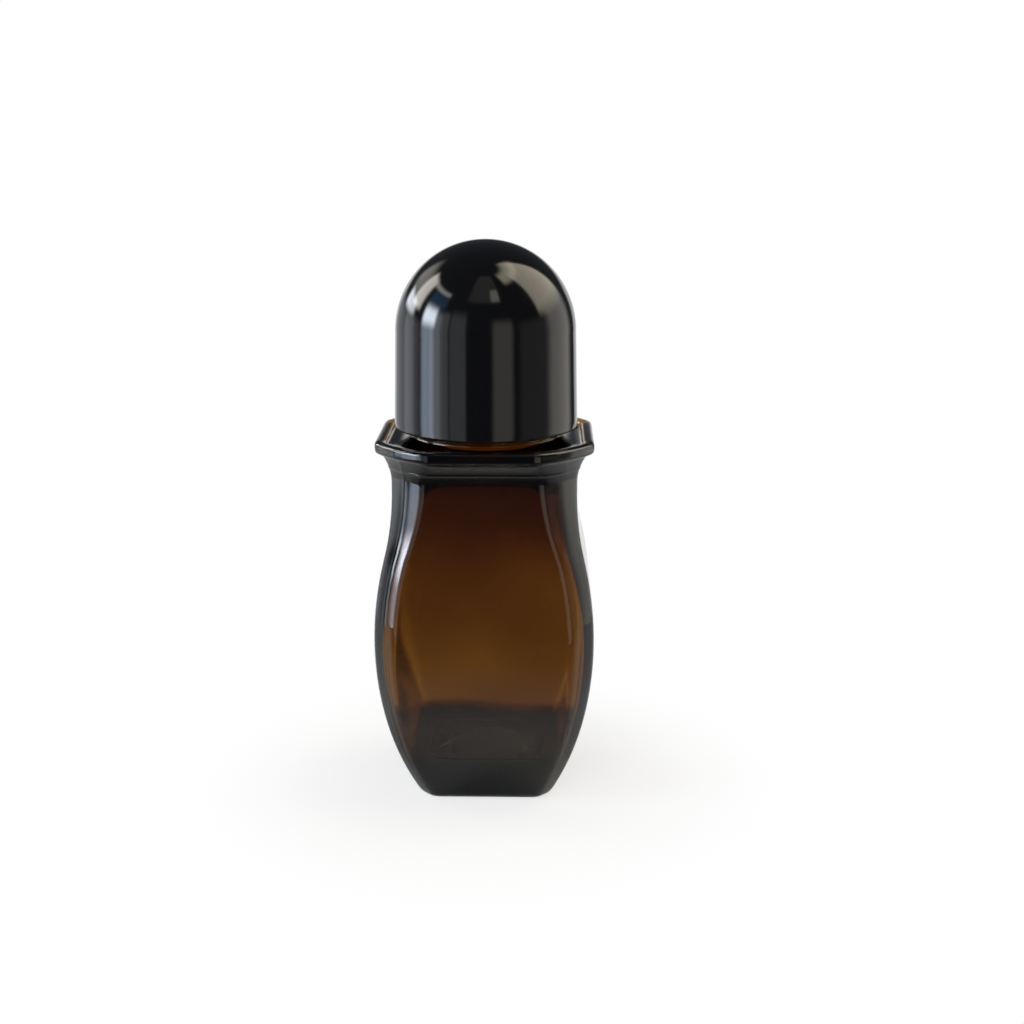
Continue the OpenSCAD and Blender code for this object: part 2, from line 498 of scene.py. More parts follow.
class Sway(NamedTuple):
    """A wave up the blown wall, whose crests sway round the axis."""

    share: float
    length: float
    sway: float
    start: float

    def at(self, angle: float, z: float) -> float:
        """Height of the wave at an angle in radians and a height."""
        return self.share * math.sin(z / self.length + self.sway * math.sin(angle + self.start))


@dataclass(frozen=True)
class GlassBottle:
    """Square waisted body, rim bead, ledge and threaded neck in one piece of glass."""

    shoulder_z: float = 68.8
    waist_in: float = 3.2
    rim_out: float = 3.05
    belly_z: float = 32.5
    waist_drop: float = 9.8
    corner_waist_drop: float = 6.8
    flare_drop: float = 7.3
    lower_r: float = 70.0
    corner_lower_r: float = 56.0
    belly_share: float = 0.575
    corner_share: float = 0.57
    belly_corner_cut: float = 2.7
    waist_corner_cut: float = 3.8
    rim_corner_cut: float = 5.9
    heel_r: float = 3.2
    heel_turn: float = 75.0
    bead_r: float = 1.1
    bead_squareness: float = 3.4
    glass_wall: float = 2.5
    belly_thinning: float = 0.2
    thinning_reach: float = 20.0
    waist_thickening: float = 1.5
    corner_thinning: float = 0.7
    wall_wave: float = 0.35
    wave_fade: float = 6.0
    waves: tuple[Swell | Sway, ...] = (
        Swell(0.5, 2, 9.0, 0.6), Swell(0.3, 5, -6.0, 0.0), Sway(0.35, 4.3, 1.7, 0.8))
    floor_t: float = 9.4
    floor_rise: float = 1.0
    floor_r: float = 1.4
    shoulder_t: float = 5.8
    shoulder_drop: float = 4.4
    shoulder_start: float = 0.2
    throat_r: float = 1.4
    punt_d: float = 14.0
    punt_depth: float = 0.8
    ledge_depth: float = 0.7
    ledge_dish: float = 0.45
    bore_d: float = 22.4
    neck_wall: float = 2.3
    neck_root_r: float = 0.6
    thread_rise: float = 2.6
    lip_r: float = 0.6
    lip_inner_r: float = 0.35
    crease_soft: float = 0.6
    seam_height: float = 0.05
    seam_top: float = 60.0
    joint_drop: float = 4.6
    joint_height: float = 0.07
    joint_half: float = 0.3
    columns: Columns = Columns()
    rows: Rows = Rows()

    @property
    def belly_x(self) -> float:
        """Half width across the flats at the belly, from the frame."""
        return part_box("glass_bottle")[1].x / MM

    @property
    def lip_z(self) -> float:
        """Height of the neck's lip, from the frame."""
        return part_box("glass_bottle")[1].z / MM

    @property
    def bore_r(self) -> float:
        """Radius of the neck's bore."""
        return self.bore_d / 2

    @property
    def neck_r(self) -> float:
        """Radius of the neck between its threads."""
        return self.bore_r + self.neck_wall

    @property
    def ledge_z(self) -> float:
        """Height of the ledge inside the rim bead."""
        return self.shoulder_z - self.ledge_depth

    @property
    def ceiling_z(self) -> float:
        """Height of the cavity's ceiling."""
        return self.shoulder_z - self.shoulder_t

    @property
    def wall_top(self) -> float:
        """Height where the cavity's wall turns into its shoulder."""
        return self.ceiling_z - self.shoulder_drop

    @property
    def thread(self) -> Thread:
        """Thread round the neck."""
        return Thread(start_z=self.ledge_z + self.thread_rise)

    def forms(self) -> tuple[SideForm, SideForm]:
        """Works the outer forms out.

        Returns:
            The form across the flats and the one across the corners.
        """
        waist_x = self.belly_x - self.waist_in
        rim_x = waist_x + self.rim_out
        diagonal = math.sqrt(2)
        flats = SideForm(self.belly_x, waist_x, rim_x, self.shoulder_z - self.waist_drop,
                         self.lower_r, self.belly_share, self.belly_z)
        corners = SideForm(self.belly_x * diagonal - self.belly_corner_cut,
                           waist_x * diagonal - self.waist_corner_cut,
                           rim_x * diagonal - self.rim_corner_cut,
                           self.shoulder_z - self.corner_waist_drop,
                           self.corner_lower_r, self.corner_share, self.belly_z)
        return flats, corners

    def outer_x(self, form: SideForm, z: float) -> float:
        """Follows the outside, up to the foot of the rim bead.

        Args:
            form: Outer form across the flats or the corners.
            z: Height.

        Returns:
            Reach there.
        """
        bead_x = form.rim - self.bead_r
        start_z = max(self.shoulder_z - self.flare_drop, form.waist_z)
        if z < start_z:
            return form.rounded(z, 0, self.heel_r)
        flare_r = flare_radius(bead_x - form.waist, self.shoulder_z - 2 * self.bead_r - start_z)
        flare_x = form.waist + flare_r
        return 2 * flare_x - round_x(z, flare_x, start_z, flare_r)

    def ring_at(self, z: float) -> Ring:
        """Makes a ring of the outside, with the fine ridge where the two moulds meet.

        Args:
            z: Height.

        Returns:
            The ring there.
        """
        flats, corners = [self.outer_x(form, z) for form in self.forms()]
        off = abs(z - self.shoulder_z + self.joint_drop)
        ridge = self.joint_height * smoothstep(1 - off / self.joint_half)
        return Ring(flats + ridge, corners + ridge, z, Zone.MOULDED)

    def base_rings(self) -> list[Ring]:
        """Models the hollow under the base and the flat ring that the bottle stands on.

        Returns:
            Rings from the axis outwards.
        """
        punt_r = self.punt_d / 2
        hollow = flare_radius(self.punt_depth, punt_r)
        reaches = [punt_r * (i / self.rows.punt) for i in range(self.rows.punt + 1)]
        punt = [Ring(x, x, round_x(x, self.punt_depth - hollow, 0, hollow)) for x in reaches]
        foot = self.ring_at(0.0)
        steps = self.rows.bearing
        return punt + [punt[-1].towards(foot, i / steps, 0.0) for i in range(1, steps)]

    def side_rings(self) -> list[Ring]:
        """Models heel, belly, waist and flare, up to the foot of the rim bead.

        Returns:
            Rings from the base upwards.
        """
        rows = self.rows
        turn = [math.radians(self.heel_turn * i / rows.heel) for i in range(rows.heel)]
        heel = [self.heel_r * (1 - math.cos(a)) for a in turn]
        low = self.heel_r * (1 - math.cos(math.radians(self.heel_turn)))
        flare_z = self.shoulder_z - self.flare_drop
        sides = [low + (flare_z - low) * i / rows.sides for i in range(rows.sides)]
        top = self.shoulder_z - 2 * self.bead_r
        flare = [flare_z + (top - flare_z) * i / rows.flare for i in range(rows.flare)]
        joint_z = self.shoulder_z - self.joint_drop
        flare = [z for z in flare if abs(z - joint_z) > self.joint_half]
        joint = [joint_z + self.joint_half * share for share in rows.joint]
        return [self.ring_at(z) for z in heel + sides + sorted(flare + joint)]

    def bead_rings(self) -> list[Ring]:
        """Models the rim bead, whose section is a squared circle.

        Returns:
            Rings from its foot over its top and down to the ledge.
        """
        flats, corners = self.forms()
        mid_z = self.shoulder_z - self.bead_r
        power = 2 / self.bead_squareness
        sine = ((self.bead_r - self.ledge_depth) / self.bead_r) ** (self.bead_squareness / 2)
        drop = 180 - math.degrees(math.asin(sine))
        over, inside = self.rows.bead, self.rows.bead_inside
        angles = [-90 + 180 * i / over for i in range(over)]
        angles += [90 + (drop - 90) * i / inside for i in range(inside + 1)]
        rings = []
        for angle in angles:
            turn = math.radians(angle)
            out, up = [math.copysign(self.bead_r * abs(side) ** power, side)
                       for side in (math.cos(turn), math.sin(turn))]
            zone = Zone.MOULDED if angle < self.seam_top else Zone.PLAIN
            rings.append(Ring(flats.rim - self.bead_r + out, corners.rim - self.bead_r + out,
                              mid_z + up, zone))
        return rings

    def neck_rings(self, inner_rim: Ring) -> list[Ring]:
        """Models ledge, neck root, threaded neck, lip and bore.

        Args:
            inner_rim: Ring where the rim bead meets the ledge.

        Returns:
            Rings from the ledge to the bottom of the bore.
        """
        rows, root = self.rows, self.neck_root_r
        edge = Ring(self.neck_r + root, self.neck_r + root, self.ledge_z)
        rings = []
        for i in range(1, rows.ledge):
            dish = self.ledge_dish * math.sin(math.pi * i / rows.ledge)
            rings.append(inner_rim.towards(edge, i / rows.ledge, self.ledge_z - dish))
        points = arc(self.neck_r + root, self.ledge_z + root, root, 270, 180, rows.root)
        rings += [Ring(x, x, z) for x, z in points]
        low, high = self.ledge_z + root, self.lip_z - self.lip_r
        rings += [Ring(self.neck_r, self.neck_r, low + (high - low) * i / rows.neck, Zone.THREADED)
                  for i in range(1, rows.neck)]
        lip, inner = self.lip_r, self.lip_inner_r
        points = arc(self.neck_r - lip, self.lip_z - lip, lip, 0, 90, rows.lip)
        points += arc(self.bore_r + inner, self.lip_z - inner, inner, 90, 180, rows.lip_inside)
        low, high = self.ceiling_z + self.throat_r, self.lip_z - inner
        points += [(self.bore_r, high + (low - high) * i / rows.bore) for i in range(1, rows.bore)]
        return rings + [Ring(x, x, z) for x, z in points]

    def extra_wall(self, z: float) -> float:
        """Finds the glass added to the wall. Blowing thins it most where it swells furthest.

        Args:
            z: Height.

        Returns:
            Glass added there, less than nothing where the wall is thinned.
        """
        thin = 1 - smoothstep(abs(z - self.belly_z) / self.thinning_reach)
        thick = smoothstep((z - self.belly_z) / (self.wall_top - self.belly_z))
        return self.waist_thickening * thick - self.belly_thinning * thin

    def wave(self, angle: float, z: float) -> float:
        """Finds the unevenness of the wall that blowing leaves.

        Args:
            angle: Angle round the axis, in radians.
            z: Height.

        Returns:
            How far the wall stands into the cavity there.
        """
        low = smoothstep((z - self.floor_t - self.floor_r) / self.wave_fade)
        high = smoothstep((self.wall_top - z) / self.wave_fade)
        return self.wall_wave * sum(wave.at(angle, z) for wave in self.waves) * low * high

    def cavity_rings(self) -> list[Ring]:
        """Models throat, shoulder, walls and domed floor of the cavity.

        Returns:
            Rings from the bore down.
        """
        rows, throat_r, wall_top = self.rows, self.throat_r, self.wall_top
        flats, corners = [form.inside(self.glass_wall) for form in self.forms()]
        bore = Ring(self.bore_r, self.bore_r, self.ceiling_z + throat_r)
        start = self.bore_r + self.shoulder_start
        ceiling = Ring(start, start, self.ceiling_z)
        extra = self.extra_wall(wall_top)
        wall = Ring(flats.waist - extra, corners.waist - extra + self.corner_thinning, wall_top)
        rings = []
        for i in range(rows.throat):
            turn = math.radians(90 * i / rows.throat)
            height = bore.height - throat_r * math.sin(turn)
            rings.append(bore.towards(ceiling, 1 - math.cos(turn), height))
        for i in range(rows.shoulder):
            turn = math.radians(90 * i / rows.shoulder)
            height = wall_top + self.shoulder_drop * math.cos(turn)
            rings.append(ceiling.towards(wall, math.sin(turn), height))
        edge = self.heel_turn
        low = self.floor_t + self.floor_r * (1 - math.cos(math.radians(edge)))
        levels = [wall_top + (low - wall_top) * i / rows.wall for i in range(rows.wall)]
        steps = rows.floor_edge
        turns = [math.radians(edge - edge * i / steps) for i in range(steps + 1)]
        levels += [self.floor_t + self.floor_r * (1 - math.cos(a)) for a in turns]
        for z in levels:
            flat, corner = [form.rounded(z, self.floor_t, self.floor_r) - self.extra_wall(z)
                            for form in (flats, corners)]
            rings.append(Ring(flat, corner + self.corner_thinning, z, Zone.BLOWN))
        foot = rings[-1]
        for i in range(1, rows.floor + 1):
            share = 1 - i / rows.floor
            height = self.floor_t + self.floor_rise * (1 - share * share)
            rings.append(Ring(foot.flat * share, foot.corner * share, height))
        return rings

    def rings(self) -> list[Ring]:
        """All rings, from the middle of the base, up the outside and down the inside."""
        outside = self.base_rings() + self.side_rings() + self.bead_rings()
        return outside + self.neck_rings(outside[-1]) + self.cavity_rings()

    def mesh(self) -> bmesh.types.BMesh:
        """Spins the rings and squares them off.

        Returns:
            The closed glass mesh, in metres.
        """
        rings = self.rings()
        eighth = self.columns.eighth
        count = 8 * eighth
        mesh = turned([(ring.flat, ring.height) for ring in rings], count)
        ring_of = mesh.verts.layers.int["ring"]
        thread = self.thread
        for vert in mesh.verts:
            ring = rings[vert[ring_of]]
            turn = math.atan2(vert.co.y, vert.co.x) / (2 * math.pi) % 1.0
            column = round(turn * count) % count
            angle = self.columns.angle(column, ring, self.crease_soft)
            reach = ring.reach(angle, self.crease_soft)
            if ring.zone is Zone.THREADED:
                reach += thread.rise(angle, ring.height)
            if ring.zone is Zone.BLOWN:
                reach -= self.wave(angle, ring.height)
            # The mould's two halves meet at two opposite corners
            if ring.zone is Zone.MOULDED and column % (4 * eighth) == eighth:
                reach += self.seam_height
            vert.co = Vector((math.cos(angle) * reach, math.sin(angle) * reach, ring.height)) * MM
        bmesh.ops.recalc_face_normals(mesh, faces=mesh.faces)
        return mesh

    def build(self) -> None:
        """Models and dresses the glass."""
        piece = Piece("glass_body", Body.BOTTLE, "amber_glass", replaces="glass_bottle")
        piece.finish(self.mesh(), AmberGlass().material())


@dataclass(frozen=True)
class BallHousing:
    """Snap-in bowl with a flange and a plug, which holds the ball and feeds it."""

    lip_z: float
    ball_z: float
    neck_r: float
    bore_r: float
    socket_wall: float = 1.1
    mouth_edge_r: float = 0.2
    mouth_turn: float = 20.0
    flange_inset: float = 0.3
    flange_t: float = 1.2
    flange_edge_r: float = 0.3
    plug_wall: float = 1.3
    plug_gap: float = 0.35
    plug_edge: float = 0.2
    rib_gap: float = 0.02
    rib_h: float = 0.8
    rib_count: int = 3
    feed_d: float = 8.0
    split_turn: float = -60.0
    split_step: float = 2.0
    slot_count: int = 6
    slot_w: float = 1.3
    slot_start: float = 0.4
    slot_reach: float = 6.4
    slot_height: float = 6.0
    slot_rise: float = 1.4
    columns: int = 144

    @property
    def bowl_r(self) -> float:
        """Outer radius of the bowl, from the frame."""
        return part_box("ball_housing")[1].x / MM

    @property
    def socket_r(self) -> float:
        """Inner radius of the bowl."""
        return self.bowl_r - self.socket_wall

    def plug(self, plug_end: float) -> list[Point]:
        """Draws the plug with its sealing ribs.

        Args:
            plug_end: Height of its lower end.

        Returns:
            Points from its inside, round its lower end and up to the flange.
        """
        plug_r = self.bore_r - self.plug_gap
        plug_in_r = plug_r - self.plug_wall
        edge = self.plug_edge
        points = [(plug_in_r, plug_end + edge), (plug_in_r + edge, plug_end),
                  (plug_r - self.plug_gap, plug_end), (plug_r, plug_end + self.rib_h)]
        pitch = (self.lip_z - plug_end) / (self.rib_count + 1)
        tip = self.bore_r - self.rib_gap
        for i in range(self.rib_count, 0, -1):
            mid = self.lip_z - i * pitch
            points += [(plug_r, mid - self.rib_h / 2), (tip, mid - self.rib_h / 4),
                       (tip, mid + self.rib_h / 4), (plug_r, mid + self.rib_h / 2)]
        return points + [(plug_r, self.lip_z)]

    def profile(self) -> list[Point]:
        """Draws the housing.

        Returns:
            Closed outline, from the feed hole round the outside and back up the socket.
        """
        low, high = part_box("ball_housing")
        top_z = high.z / MM
        plug = self.plug(low.z / MM)
        flange_r = self.neck_r - self.flange_inset
        flange_z = self.lip_z + self.flange_t
        feed = math.degrees(math.asin(self.feed_d / 2 / self.bowl_r)) - 90
        inner = math.degrees(math.asin(plug[0][0] / self.bowl_r)) - 90
        points = arc(0, self.ball_z, self.bowl_r, feed, inner, steps=6) + plug
        edge = self.flange_edge_r
        points += arc(flange_r - edge, self.lip_z + edge, edge, -90, 0, steps=4)
        points += arc(flange_r - edge, flange_z - edge, edge, 0, 90, steps=4)
        rise = -math.degrees(math.asin((self.ball_z - flange_z) / self.bowl_r))
        points += arc(0, self.ball_z, self.bowl_r, rise, 0, steps=14)
        lip, edge = self.socket_wall / 2, self.mouth_edge_r
        mouth = math.degrees(math.asin((top_z - self.ball_z) / self.socket_r))
        points += [(self.bowl_r, self.ball_z + (top_z - self.ball_z) / 2)]
        points += arc(self.bowl_r - lip - edge, top_z - edge, edge, self.mouth_turn, 90, 4)
        points += arc(0, self.ball_z, self.socket_r, mouth, self.split_turn, steps=30)
        feed_in = math.degrees(math.asin(self.feed_d / 2 / self.socket_r)) - 90
        split = self.split_turn - self.split_step
        return points + arc(0, self.ball_z, self.socket_r, split, feed_in, steps=6)

    def cutter(self) -> bpy.types.Object:
        """Makes the bars that cut the feed slots.

        Returns:
            A loose object, which the caller removes.
        """
        mesh = bmesh.new()
        size = Vector((self.slot_reach, self.slot_w, self.slot_height)) * MM
        height = self.ball_z - self.bowl_r + self.slot_rise
        middle = Vector((self.slot_reach / 2 + self.slot_start, 0, height)) * MM
        for i in range(self.slot_count):
            bar = bmesh.ops.create_cube(mesh, size=1)["verts"]
            bmesh.ops.scale(mesh, verts=bar, vec=size)
            bmesh.ops.translate(mesh, verts=bar, vec=middle)
            bmesh.ops.rotate(mesh, verts=bar, cent=(0, 0, 0),
                             matrix=Matrix.Rotation(2 * math.pi * i / self.slot_count, 3, "Z"))
        return add_object("slot_cutter", mesh)

    def build(self) -> None:
        """Models and dresses the housing, with its feed slots cut."""
        blank = add_object("uncut_housing", turned(self.profile(), self.columns, closed=True))
        cutter = self.cutter()
        modifier = blank.modifiers.new("slots", "BOOLEAN")
        modifier.object = cutter
        modifier.operation = "DIFFERENCE"
        modifier.solver = "EXACT"
        cut = bmesh.new()
        cut.from_object(blank, bpy.context.evaluated_depsgraph_get())
        bmesh.ops.remove_doubles(cut, verts=cut.verts, dist=MERGE_MM * MM)
        bpy.data.objects.remove(blank)
        bpy.data.objects.remove(cutter)
        piece = Piece("housing_bowl", Body.BOTTLE, "natural_plastic", "ball_housing", sharp_from=40)
        piece.finish(cut, NaturalPolyethylene().material())


@dataclass(frozen=True)
class RollerBall:
    """Hollow ball, polished down to a faint weld line round its middle."""

    columns: int = 128
    rows: int = 64
    weld_width: float = 1.2
    weld_sink: float = 0.012

    def build(self) -> None:
        """Models and dresses the ball."""
        low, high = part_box("roller_ball")
        radius = high.x / MM
        middle = (low.z + high.z) / 2 / MM
        profile = []
        for x, z in arc(0, middle, radius, -90, 90, self.rows):
            sink = self.weld_sink * smoothstep(1 - abs(z - middle) / self.weld_width)
            profile.append((max(0.0, x - sink), z))
        profile[0] = (0.0, middle - radius)
        profile[-1] = (0.0, middle + radius)
        piece = Piece("ball_shell", Body.BALL, "ball_plastic", replaces="roller_ball")
        piece.finish(turned(profile, self.columns), WhitePolypropylene().material())


@dataclass(frozen=True)
class DomedCap:
    """Cap with a half-round dome, a slightly tapered skirt and a thread inside."""

    ball_z: float
    ball_r: float
    wall: float = 1.7
    skirt_draft: float = 0.4
    skirt_steps: int = 8
    skirt_edge_r: float = 0.4
    inner_edge_r: float = 0.2
    press_d: float = 11.0
    press_wall: float = 1.0
    press_gap: float = 0.3
    press_edge: float = 0.15
    parting_depth: float = 0.015
    parting_half: float = 0.12
    thread_start: float = 2.2
    thread_turns: float = 1.4
    thread_pitch: float = 3.0
    thread_steps: int = 140
    # Upper half of the thread's section: place from the skirt's wall and height over its middle
    thread_half: tuple[Point, ...] = ((0.3, 0.7), (-0.1, 0.6), (-0.95, 0.2))
    columns: int = 180

    @property
    def skirt_r(self) -> float:
        """Outer radius of the skirt's open end, from the frame."""
        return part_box("cap")[1].x / MM

    @property
    def low_z(self) -> float:
        """Height of the skirt's open end, from the frame."""
        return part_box("cap")[0].z / MM

    @property
    def dome_r(self) -> float:
        """Outer radius of the dome."""
        return self.skirt_r - self.skirt_draft

    @property
    def dome_z(self) -> float:
        """Height of the dome's centre."""
        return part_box("cap")[1].z / MM - self.dome_r

    def outside(self) -> list[Point]:
        """Draws the outside.

        Returns:
            Points from the top of the dome, over the parting line and down to the skirt's end.
        """
        dome = arc(0, self.dome_z, self.dome_r, 90, 2, steps=44)
        dome[0] = (0.0, self.dome_z + self.dome_r)
        half = self.parting_half
        line = [(self.dome_r, self.dome_z + 2 * half), (self.dome_r, self.dome_z + half),
                (self.dome_r - self.parting_depth, self.dome_z),
                (self.dome_r, self.dome_z - half), (self.dome_r, self.dome_z - 2 * half)]
        drop = self.dome_z - self.low_z
        steps = self.skirt_steps
        skirt = [(self.dome_r + self.skirt_draft * i / steps, self.dome_z - drop * i / steps)
                 for i in range(1, steps)]
        edge = self.skirt_edge_r
        end = arc(self.skirt_r - edge, self.low_z + edge, edge, 0, -90, steps=6)
        return dome + line + skirt + end

    def inside(self) -> list[Point]:
        """Draws the inside, with the ring that presses the ball.

        Returns:
            Points from the skirt's end up to the middle of the dome.
        """
        inner_r = self.dome_r - self.wall
        small = self.inner_edge_r
        rim = arc(self.skirt_r - self.wall + small, self.low_z + small, small, -90, -180, steps=4)
        ring_r = self.press_d / 2
        ring_in = ring_r - self.press_wall
        ring_low = self.ball_z + math.sqrt((self.ball_r + self.press_gap) ** 2 - ring_in ** 2)
        meet = math.degrees(math.acos(ring_r / inner_r))
        leave = math.degrees(math.acos(ring_in / inner_r))
        edge = self.press_edge
        ring = [(ring_r, ring_low + edge), (ring_r - edge, ring_low),
                (ring_in + edge, ring_low), (ring_in, ring_low + edge)]
        middle = arc(0, self.dome_z, inner_r, leave, 90, steps=6)
        middle[-1] = (0.0, self.dome_z + inner_r)
        return rim + arc(0, self.dome_z, inner_r, 0, meet, steps=28) + ring + middle

    def thread_mesh(self) -> bmesh.types.BMesh:
        """Sweeps the thread ridge inside the skirt, by a rising spin of its section.

        Returns:
            The closed ridge, in metres.
        """
        wall_r = self.skirt_r - self.wall
        start = self.low_z + self.thread_start
        half = [(wall_r + x, z) for x, z in self.thread_half]
        outline = [(x, -z) for x, z in half] + half[::-1]
        mesh = bmesh.new()
        verts = [mesh.verts.new((x * MM, 0, (start + z) * MM)) for x, z in outline]
        face = mesh.faces.new(verts)
        rise = self.thread_turns * self.thread_pitch / self.thread_steps * MM
        bmesh.ops.spin(mesh, geom=[face], axis=(0, 0, 1), cent=(0, 0, 0), dvec=(0, 0, rise),
                       angle=2 * math.pi * self.thread_turns, steps=self.thread_steps,
                       use_merge=False)
        bmesh.ops.recalc_face_normals(mesh, faces=mesh.faces)
        return mesh

    def build(self) -> None:
        """Models and dresses the cap and its thread."""
        gloss = BlackPolypropylene().material()
        shell = Piece("cap_shell", Body.CAP, "black_plastic", "cap", sharp_from=35)
        shell.finish(turned(self.outside() + self.inside(), self.columns), gloss)
        thread = Piece("cap_thread", Body.CAP, "black_plastic", sharp_from=35)
        thread.finish(self.thread_mesh(), gloss)


class Ramp(NamedTuple):
    """Change of a value: where it starts and ends, and what it gives there."""

    start: float
    end: float
    low: float
    high: float

    @property
    def settings(self) -> dict[str, float]:
        """The ramp as settings of a Map Range node."""
        return dict(zip(("From Min", "From Max", "To Min", "To Max"), self))


class Pattern(NamedTuple):
    """A fine uneven pattern: size of its patches in millimetres, and fineness of its detail."""

    patch_mm: float
    detail: float

    @property
    def settings(self) -> dict[str, float]:
        """The pattern as settings of a Noise Texture node."""
        return {"Scale": 1 / (self.patch_mm * MM), "Detail": self.detail}


@dataclass(frozen=True)
class AmberGlass:
    """Amber soda-lime container glass, blow-moulded, which gives a deep brown with clear depth."""

    ior: float = 1.52
    roughness: float = 0.0
    absorbed: str = "#cfb447"
    density: float = 1300.0
    ripple: Pattern = Pattern(9.0, 2.0)
    ripple_depth_mm: float = 0.01

    def material(self) -> bpy.types.Material:
        """Builds clear glass with its colour in the volume.

        Returns:
            The glass, whose thick parts go nearly black.
        """
        material, tree = new_material("amber_container_glass")
        place = add_node(tree, "ShaderNodeTexCoord")
        ripple = add_node(tree, "ShaderNodeTexNoise", self.ripple.settings,
                          {"Vector": place.outputs["Object"]})
        bump = add_node(tree, "ShaderNodeBump",
                        {"Strength": 1.0, "Distance": self.ripple_depth_mm * MM},
                        {"Height": ripple.outputs["Fac"]})
        surface = add_node(tree, "ShaderNodeBsdfPrincipled",
                           {"Base Color": (1, 1, 1, 1), "Roughness": self.roughness,
                            "IOR": self.ior, "Transmission Weight": 1.0},
                           {"Normal": bump.outputs["Normal"]})
        volume = add_node(tree, "ShaderNodeVolumeAbsorption",
                          {"Color": linear(self.absorbed), "Density": self.density})
        add_node(tree, "ShaderNodeOutputMaterial", links={
            "Surface": surface.outputs["BSDF"], "Volume": volume.outputs["Volume"]})
        return material


@dataclass(frozen=True)
class Plastic:
    """A moulded plastic, whose gloss varies in patches and whose skin may carry a fine relief."""

    name: str
    colour: str
    ior: float
    patches: Pattern
    roughness: Ramp
    relief: Pattern | None = None
    relief_depth_mm: float = 0.0
    relief_strength: float = 1.0
    scatter: float = 0.0
    scatter_mm: float = 1.0
    scatter_spread: tuple[float, float, float] = (1.0, 1.0, 1.0)

    def material(self) -> bpy.types.Material:
        """Builds the plastic.

        Returns:
            The plastic, with its light scattered under the skin where scatter is above 0.
        """
        material, tree = new_material(self.name)
        place = add_node(tree, "ShaderNodeTexCoord").outputs["Object"]
        patches = add_node(tree, "ShaderNodeTexNoise", self.patches.settings, {"Vector": place})
        gloss = add_node(tree, "ShaderNodeMapRange", self.roughness.settings,
                         {"Value": patches.outputs["Fac"]})
        surface = add_node(tree, "ShaderNodeBsdfPrincipled",
                           {"Base Color": linear(self.colour), "IOR": self.ior,
                            "Subsurface Weight": self.scatter,
                            "Subsurface Scale": self.scatter_mm * MM,
                            "Subsurface Radius": self.scatter_spread},
                           {"Roughness": gloss.outputs["Result"]})
        if self.relief:
            relief = add_node(tree, "ShaderNodeTexNoise", self.relief.settings, {"Vector": place})
            bump = add_node(tree, "ShaderNodeBump",
                            {"Strength": self.relief_strength,
                             "Distance": self.relief_depth_mm * MM},
                            {"Height": relief.outputs["Fac"]})
            tree.links.new(bump.outputs["Normal"], surface.inputs["Normal"])
        add_node(tree, "ShaderNodeOutputMaterial", links={"Surface": surface.outputs["BSDF"]})
        return material


@dataclass(frozen=True)
class BlackPolypropylene(Plastic):
    """Injection-moulded black polypropylene from a polished mould.

    It has a deep gloss with a faint haze in patches, and a very fine ripple softens what it
    mirrors.
    """

    name: str = "black_polypropylene_gloss"
    colour: str = "#070708"
    ior: float = 1.49
    patches: Pattern = Pattern(6.0, 5.0)
    roughness: Ramp = Ramp(0.35, 0.7, 0.06, 0.11)
    relief: Pattern | None = Pattern(3.0, 2.0)
    relief_depth_mm: float = 0.004


@dataclass(frozen=True)
class NaturalPolyethylene(Plastic):
    """Natural low-density polyethylene, injection-moulded.

    It is a milky satin that lets a little light through, with a fine moulded grain.
    """

    name: str = "natural_ldpe_satin"
    colour: str = "#e9e6da"
    ior: float = 1.51
    patches: Pattern = Pattern(0.5, 3.0)
    roughness: Ramp = Ramp(0.3, 0.7, 0.33, 0.46)
    relief: Pattern | None = Pattern(0.5, 3.0)
    relief_depth_mm: float = 0.01
    relief_strength: float = 0.6
    scatter: float = 0.4
    scatter_mm: float = 1.2
    scatter_spread: tuple[float, float, float] = (1.0, 0.9, 0.75)


@dataclass(frozen=True)
class WhitePolypropylene(Plastic):
    """Ground and polished white polypropylene, an even soft gloss with hardly any patches."""

    name: str = "white_polypropylene_polished"
    colour: str = "#efeee9"
    ior: float = 1.49
    patches: Pattern = Pattern(2.5, 4.0)
    roughness: Ramp = Ramp(0.3, 0.7, 0.13, 0.22)
    scatter: float = 0.15
    scatter_mm: float = 0.8
    scatter_spread: tuple[float, float, float] = (1.0, 0.95, 0.85)


